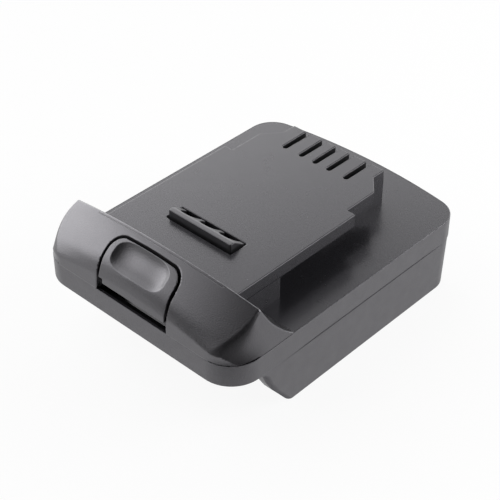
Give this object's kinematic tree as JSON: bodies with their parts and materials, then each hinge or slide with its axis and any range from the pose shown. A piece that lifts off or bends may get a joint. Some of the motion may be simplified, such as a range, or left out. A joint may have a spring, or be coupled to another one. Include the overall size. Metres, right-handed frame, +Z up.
{
  "type": "tool battery adapter",
  "caption": "Slide-on adapter that lets a battery pack of one tool system fit a tool of another: T-rail plate with spring latch and release button above, railed socket with blades below.",
  "frame": {"origin": "under the middle of the body, on the plane of the resting face", "axes": "+X to the right seen from the hood end, +Y from the hood towards the contact slots, +Z up out of the tool plate"},
  "size_m": [0.08, 0.105, 0.0437],
  "materials": {
    "housing_upper": "moulded, fine spark-eroded grain",
    "housing_band": "moulded, fine spark-eroded grain",
    "housing_lower": "moulded, satin",
    "button": "moulded, fine grain",
    "latch": "moulded, smooth dark",
    "spring_wire": "drawn wire",
    "insulator": "moulded, glass-filled",
    "contact_brass": "stamped sheet",
    "board": "solder mask",
    "component_black": "moulded epoxy",
    "resistor_body": "lacquer",
    "capacitor_sleeve": "shrunk sleeve",
    "lead_black": "insulation",
    "lead_red": "insulation",
    "screw_steel": "zinc plated"
  },
  "bodies": {
    "housing": {"top_cover": "housing_upper", "mid_frame": "housing_band", "dock": "housing_lower", "latch_spring_left": "spring_wire", "latch_spring_right": "spring_wire", "contact_carrier": "insulator", "clip_negative": "contact_brass", "clip_signal_left": "contact_brass", "clip_signal_middle": "contact_brass", "clip_signal_right": "contact_brass", "clip_positive": "contact_brass", "circuit_board": "board", "power_switch": "component_black", "control_chip": "component_black", "id_resistor": "resistor_body", "capacitor": "capacitor_sleeve", "terminal_block": "insulator", "blade_negative": "contact_brass", "blade_signal_left": "contact_brass", "blade_signal_right": "contact_brass", "blade_positive": "contact_brass", "lead_negative": "lead_black", "lead_positive": "lead_red", "housing_screws": "screw_steel", "board_screws": "screw_steel", "block_screws": "screw_steel"},
    "release": {"release_button": "button", "latch_bar": "latch"}
  },
  "joints": [
    {"name": "release_slide", "type": "slide", "parent": "housing", "child": "release", "axis": [0, 0, -1], "range_m": [0, 0.0028], "stiffness_N_per_m": 1600, "springref_m": -0.002, "deforming": ["latch_spring_left", "latch_spring_right"]}
  ]
}
